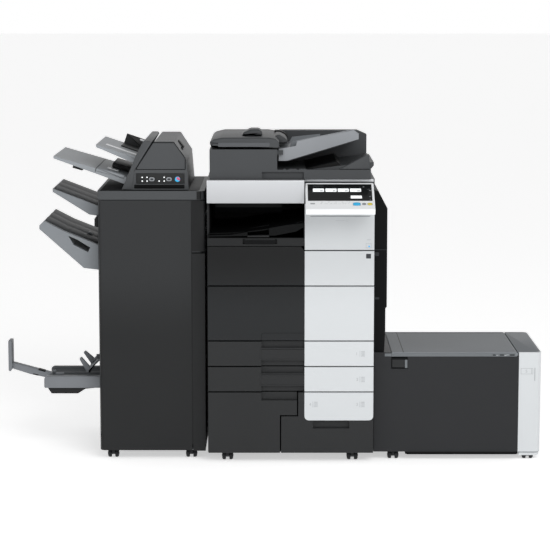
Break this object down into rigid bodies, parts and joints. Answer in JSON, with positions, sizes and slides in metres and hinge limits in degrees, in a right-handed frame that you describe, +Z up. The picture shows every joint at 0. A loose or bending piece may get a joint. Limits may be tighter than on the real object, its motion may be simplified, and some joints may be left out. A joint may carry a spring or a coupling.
{
  "type": "photocopier",
  "caption": "Floor-standing office photocopier with document feeder, scanner, paper drawers, tilting panel, finisher with output trays and a side paper unit.",
  "frame": {"origin": "on the floor under the middle of the whole machine's footprint", "axes": "+X to the right along the fronts, +Y from the fronts to the back, +Z up"},
  "size_m": [2.042, 0.828, 1.2462],
  "materials": {
    "dark_abs": "satin moulded ABS",
    "black_abs": "moulded black ABS",
    "white_abs": "satin moulded white ABS",
    "silver_paint": "silver painted trim",
    "zinc_sheet": "zinc-plated steel sheet",
    "grey_abs": "moulded grey ABS",
    "platen_glass": "polished float glass",
    "screen_glass": "gloss black display glass",
    "roller_rubber": "ground rubber",
    "drum_coating": "photoconductor coating",
    "toner_plastic": "toner bottle polyethylene",
    "key_blue": "translucent blue key",
    "key_grey": "grey key",
    "key_yellow": "yellow key",
    "caster_nylon": "black nylon"
  },
  "bodies": {
    "machine": {"engine_frame": "zinc_sheet", "engine_covers": "dark_abs", "power_inlet": "black_abs", "exit_front_cover": "dark_abs", "upper_front_plate": "white_abs", "exit_tray": "black_abs", "exit_unit": "black_abs", "scanner_housing": "dark_abs", "scanner_front_trim": "silver_paint", "platen_glass": "platen_glass", "right_side_unit": "dark_abs", "caster_brackets": "zinc_sheet", "caster_wheels": "caster_nylon", "levelling_feet": "zinc_sheet", "finisher_cabinet": "zinc_sheet", "finisher_covers": "dark_abs", "inserter_body": "dark_abs", "inserter_upper_tray": "grey_abs", "inserter_lower_tray": "grey_abs", "upper_output_tray": "grey_abs", "booklet_tray": "grey_abs", "side_unit_cabinet": "dark_abs", "side_unit_end_cover": "white_abs"},
    "feeder": {"feeder_base": "dark_abs", "feeder_body": "dark_abs"},
    "feeder_cover": {"feeder_cover": "dark_abs"},
    "document_tray": {"document_tray": "grey_abs"},
    "guide_front": {"document_guide_front": "grey_abs"},
    "guide_rear": {"document_guide_rear": "grey_abs"},
    "feeder_roller": {"feeder_roller": "roller_rubber"},
    "scan_carriage": {"scan_carriage": "black_abs"},
    "panel": {"panel_housing": "white_abs", "panel_screen": "screen_glass"},
    "start_key": {"start_key": "key_blue"},
    "stop_key": {"stop_key": "key_grey"},
    "reset_key": {"reset_key": "key_yellow"},
    "toner_door": {"toner_door": "dark_abs", "toner_door_plate": "white_abs"},
    "front_door": {"front_door": "dark_abs", "front_door_plate": "white_abs"},
    "toner_bottle": {"toner_bottle": "toner_plastic"},
    "photo_drum": {"photo_drum": "drum_coating"},
    "heat_roller": {"heat_roller": "roller_rubber"},
    "cassette_1": {"cassette_1": "dark_abs", "cassette_1_plate": "white_abs"},
    "cassette_2": {"cassette_2": "dark_abs", "cassette_2_plate": "white_abs"},
    "tandem_right": {"tandem_right": "dark_abs", "tandem_right_plate": "white_abs"},
    "tandem_left": {"tandem_left": "dark_abs"},
    "finisher_door": {"finisher_door": "dark_abs"},
    "inserter_start_key": {"inserter_start_key": "key_blue"},
    "inserter_left_key": {"inserter_left_key": "key_grey"},
    "inserter_right_key": {"inserter_right_key": "key_grey"},
    "main_output_tray": {"main_output_tray": "grey_abs"},
    "booklet_stop": {"booklet_stop": "grey_abs"},
    "booklet_flaps": {"booklet_flaps": "grey_abs"},
    "side_unit_lid": {"side_unit_lid": "dark_abs"},
    "side_unit_lever": {"side_unit_lever": "black_abs"},
    "side_unit_lift_plate": {"side_unit_lift_plate": "zinc_sheet"}
  },
  "joints": [
    {"name": "feeder_lift", "type": "hinge", "parent": "machine", "child": "feeder", "pos_m": [0.073, 0.35903, 1.0842], "axis": [-1, 0, 0], "range_deg": [0, 60]},
    {"name": "feeder_cover_hinge", "type": "hinge", "parent": "feeder", "child": "feeder_cover", "pos_m": [-0.21, -0.00597, 1.1932], "axis": [0, -1, 0], "range_deg": [0, 70]},
    {"name": "document_tray_tilt", "type": "hinge", "parent": "feeder", "child": "document_tray", "pos_m": [0.042, -0.02597, 1.1642], "axis": [0, -1, 0], "range_deg": [0, 20]},
    {"name": "document_guide_slide", "type": "slide", "parent": "document_tray", "child": "guide_front", "axis": [0, 1, 0], "range_m": [0, 0.09]},
    {"name": "document_guide_rear_slide", "type": "slide", "parent": "document_tray", "child": "guide_rear", "axis": [0, 1, 0], "range_m": [-0.09, 0]},
    {"name": "feeder_roller_spin", "type": "hinge", "parent": "feeder", "child": "feeder_roller", "pos_m": [-0.032, -0.00597, 1.1532], "axis": [0, 1, 0], "continuous": true},
    {"name": "scan_slide", "type": "slide", "parent": "machine", "child": "scan_carriage", "axis": [1, 0, 0], "range_m": [0, 0.38]},
    {"name": "panel_tilt", "type": "hinge", "parent": "machine", "child": "panel", "pos_m": [0.258, -0.23597, 1.036], "axis": [-1, 0, 0], "range_deg": [0, 30]},
    {"name": "start_key_press", "type": "slide", "parent": "panel", "child": "start_key", "axis": [0, 0.4337, -0.9011], "range_m": [0, 0.002], "stiffness_N_per_m": 400, "springref_m": -0.0005},
    {"name": "stop_key_press", "type": "slide", "parent": "panel", "child": "stop_key", "axis": [0, 0.4337, -0.9011], "range_m": [0, 0.002], "stiffness_N_per_m": 400, "springref_m": -0.0005},
    {"name": "reset_key_press", "type": "slide", "parent": "panel", "child": "reset_key", "axis": [0, 0.4337, -0.9011], "range_m": [0, 0.002], "stiffness_N_per_m": 400, "springref_m": -0.0005},
    {"name": "toner_door_hinge", "type": "hinge", "parent": "machine", "child": "toner_door", "pos_m": [0.079, -0.25897, 0.6832], "axis": [1, 0, 0], "range_deg": [0, 80]},
    {"name": "front_door_hinge", "type": "hinge", "parent": "machine", "child": "front_door", "pos_m": [-0.22, -0.25897, 0.567], "axis": [0, 0, -1], "range_deg": [0, 90]},
    {"name": "toner_bottle_spin", "type": "hinge", "parent": "machine", "child": "toner_bottle", "pos_m": [0.079, 0.03403, 0.7377], "axis": [0, 1, 0], "continuous": true},
    {"name": "photo_drum_spin", "type": "hinge", "parent": "machine", "child": "photo_drum", "pos_m": [-0.02052, 0.03403, 0.55735], "axis": [0, 1, 0], "continuous": true},
    {"name": "heat_roller_spin", "type": "hinge", "parent": "machine", "child": "heat_roller", "pos_m": [0.21584, 0.03403, 0.57805], "axis": [0, 1, 0], "continuous": true},
    {"name": "cassette_1_slide", "type": "slide", "parent": "machine", "child": "cassette_1", "axis": [0, -1, 0], "range_m": [0, 0.42]},
    {"name": "cassette_2_slide", "type": "slide", "parent": "machine", "child": "cassette_2", "axis": [0, -1, 0], "range_m": [0, 0.42]},
    {"name": "tandem_right_slide", "type": "slide", "parent": "machine", "child": "tandem_right", "axis": [0, -1, 0], "range_m": [0, 0.42]},
    {"name": "tandem_left_slide", "type": "slide", "parent": "machine", "child": "tandem_left", "axis": [0, -1, 0], "range_m": [0, 0.42]},
    {"name": "finisher_door_hinge", "type": "hinge", "parent": "machine", "child": "finisher_door", "pos_m": [-0.626, -0.19997, 0.5], "axis": [0, 0, -1], "range_deg": [0, 90]},
    {"name": "inserter_start_key_press", "type": "slide", "parent": "machine", "child": "inserter_start_key", "axis": [0, 1, 0], "range_m": [0, 0.002], "stiffness_N_per_m": 300, "springref_m": -0.0003},
    {"name": "inserter_left_key_press", "type": "slide", "parent": "machine", "child": "inserter_left_key", "axis": [0, 1, 0], "range_m": [0, 0.002], "stiffness_N_per_m": 300, "springref_m": -0.0003},
    {"name": "inserter_right_key_press", "type": "slide", "parent": "machine", "child": "inserter_right_key", "axis": [0, 1, 0], "range_m": [0, 0.002], "stiffness_N_per_m": 300, "springref_m": -0.0003},
    {"name": "main_output_tray_lift", "type": "slide", "parent": "machine", "child": "main_output_tray", "axis": [0, 0, 1], "range_m": [-0.28, 0]},
    {"name": "booklet_stop_slide", "type": "slide", "parent": "machine", "child": "booklet_stop", "axis": [1, 0, 0], "range_m": [0, 0.09]},
    {"name": "booklet_flaps_swing", "type": "hinge", "parent": "machine", "child": "booklet_flaps", "pos_m": [-0.654, 0.03403, 0.372], "axis": [0, 1, 0], "range_deg": [0, 30]},
    {"name": "side_unit_lid_hinge", "type": "hinge", "parent": "machine", "child": "side_unit_lid", "pos_m": [0.925, 0.01903, 0.4043], "axis": [0, 1, 0], "range_deg": [0, 70]},
    {"name": "side_unit_lever_pull", "type": "hinge", "parent": "machine", "child": "side_unit_lever", "pos_m": [0.488, -0.21097, 0.386], "axis": [-1, 0, 0], "range_deg": [0, 40]},
    {"name": "side_unit_lift", "type": "slide", "parent": "machine", "child": "side_unit_lift_plate", "axis": [0, 0, 1], "range_m": [0, 0.28]}
  ],
  "couplings": [
    {"joint": "document_guide_rear_slide", "follows": "document_guide_slide", "ratio": -1}
  ]
}
